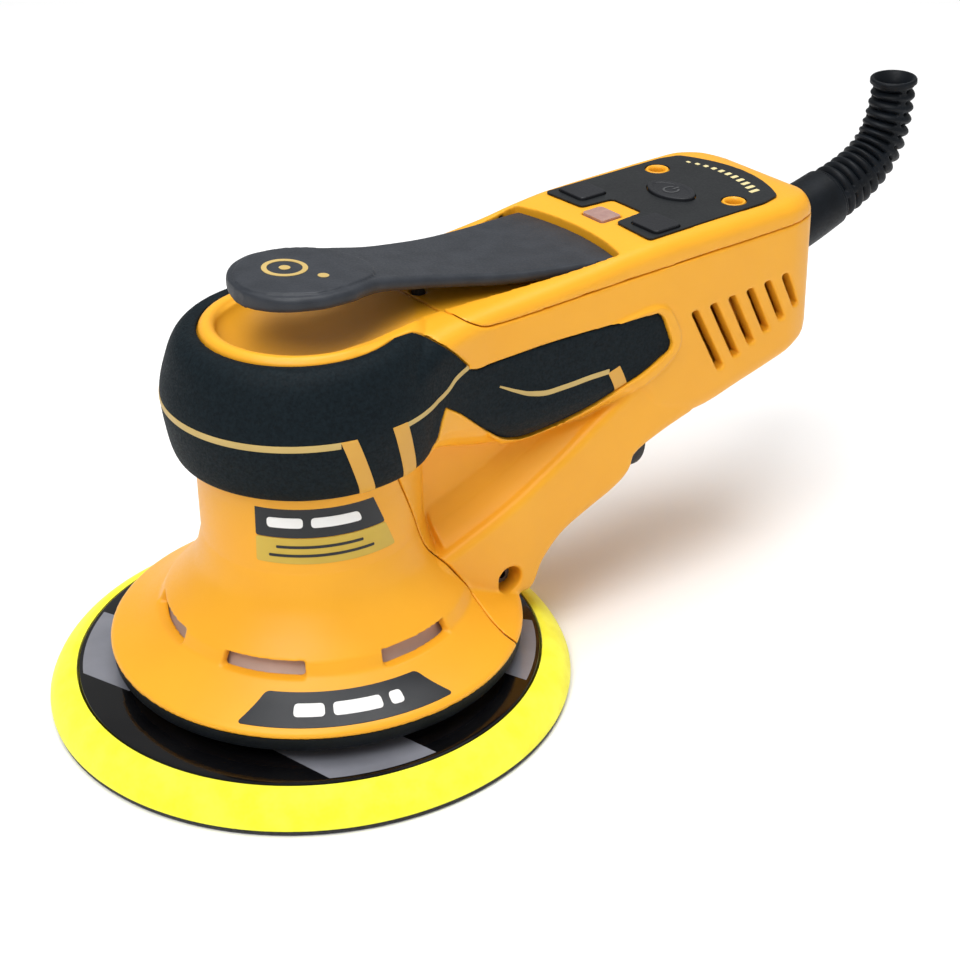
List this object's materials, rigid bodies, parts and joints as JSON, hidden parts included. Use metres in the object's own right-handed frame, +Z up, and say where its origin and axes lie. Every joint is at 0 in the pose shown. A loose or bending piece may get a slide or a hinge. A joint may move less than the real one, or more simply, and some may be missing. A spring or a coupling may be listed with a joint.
{
  "type": "random orbit palm polisher",
  "caption": "Handheld electric random-orbit polisher with a round hook-face pad, palm head, press lever on top, keypad on the handle, dust port and bent cord sleeve.",
  "frame": {"origin": "on the motor axis at the pad's working face", "axes": "+Z up the motor axis, +X back along the handle to the cord sleeve, +Y towards the speed-up button; the lever and keypad are on the top face"},
  "size_m": [0.3058, 0.1484, 0.1319],
  "materials": {
    "housing_yellow": "satin moulded",
    "grip_rubber": "fine matt grain",
    "dark_plastic": "satin",
    "lens": "clear moulded, smoky",
    "shroud_pink": "satin",
    "steel": "machined",
    "board_green": "solder mask",
    "aluminium": "as cast",
    "copper": "enamelled copper wire",
    "core_iron": "laminated steel",
    "fan_grey": "satin",
    "plate_black": "gloss moulded",
    "foam_yellow": "polyurethane foam",
    "hook_grey": "hook fastener sheet"
  },
  "bodies": {
    "housing": {"front_housing": "housing_yellow", "handle_housing": "housing_yellow", "top_cover": "housing_yellow", "head_grip": "grip_rubber", "side_grip_left": "grip_rubber", "side_grip_right": "grip_rubber", "brake_seal": "grip_rubber", "strain_relief": "grip_rubber", "control_label": "dark_plastic", "dust_port": "dark_plastic", "lever_switch": "dark_plastic", "bus_capacitor": "dark_plastic", "filter_capacitor": "dark_plastic", "cord_clamp": "dark_plastic", "indicator_lens": "lens", "fan_shroud": "shroud_pink", "lever_pin": "steel", "lever_spring": "steel", "cover_screw_left": "steel", "cover_screw_right": "steel", "side_screw_left": "steel", "side_screw_right": "steel", "clamp_screw_left": "steel", "clamp_screw_right": "steel", "lower_bearing": "steel", "upper_bearing": "steel", "button_board": "board_green", "motor_controller_board": "board_green", "heat_sink": "aluminium", "lower_bearing_plate": "aluminium", "upper_bearing_plate": "aluminium", "stator_windings": "copper", "stator_core": "core_iron"},
    "rotor": {"motor_shaft": "steel", "rotor_core": "core_iron", "rotor_magnets": "steel", "cooling_fan": "fan_grey", "eccentric_hub": "steel", "lower_spindle_bearing": "steel", "upper_spindle_bearing": "steel"},
    "pad": {"pad_spindle": "steel", "backing_plate": "plate_black", "pad_foam": "foam_yellow", "hook_face": "hook_grey", "pad_stud": "steel"},
    "lever": {"lever": "dark_plastic"},
    "power_button": {"power_button": "dark_plastic"},
    "speed_up_button": {"speed_up_button": "dark_plastic"},
    "speed_down_button": {"speed_down_button": "dark_plastic"},
    "switch_plunger": {"switch_plunger": "dark_plastic"}
  },
  "joints": [
    {"name": "motor_spin", "type": "hinge", "parent": "housing", "child": "rotor", "pos_m": [0, 0, 0], "axis": [0, 0, 1], "continuous": true},
    {"name": "pad_spin", "type": "hinge", "parent": "rotor", "child": "pad", "pos_m": [-0.002, 0.0015, 0], "axis": [0, 0, 1], "continuous": true},
    {"name": "lever_press", "type": "hinge", "parent": "housing", "child": "lever", "pos_m": [0.084, 0, 0.1117], "axis": [0, -1, 0], "range_deg": [0, 3.5], "stiffness_Nm_per_rad": 3, "springref_deg": -1.72, "deforming": ["lever_spring"]},
    {"name": "plunger_slide", "type": "slide", "parent": "housing", "child": "switch_plunger", "axis": [0, 0, -1], "range_m": [0, 0.00285]},
    {"name": "power_press", "type": "slide", "parent": "housing", "child": "power_button", "axis": [0, 0, -1], "range_m": [0, 0.0006], "stiffness_N_per_m": 1500, "springref_m": -0.0006},
    {"name": "speed_up_press", "type": "slide", "parent": "housing", "child": "speed_up_button", "axis": [0, 0, -1], "range_m": [0, 0.0006], "stiffness_N_per_m": 1500, "springref_m": -0.0006},
    {"name": "speed_down_press", "type": "slide", "parent": "housing", "child": "speed_down_button", "axis": [0, 0, -1], "range_m": [0, 0.0006], "stiffness_N_per_m": 1500, "springref_m": -0.0006}
  ],
  "couplings": [
    {"joint": "plunger_slide", "follows": "lever_press", "m_per_rad": 0.046}
  ]
}
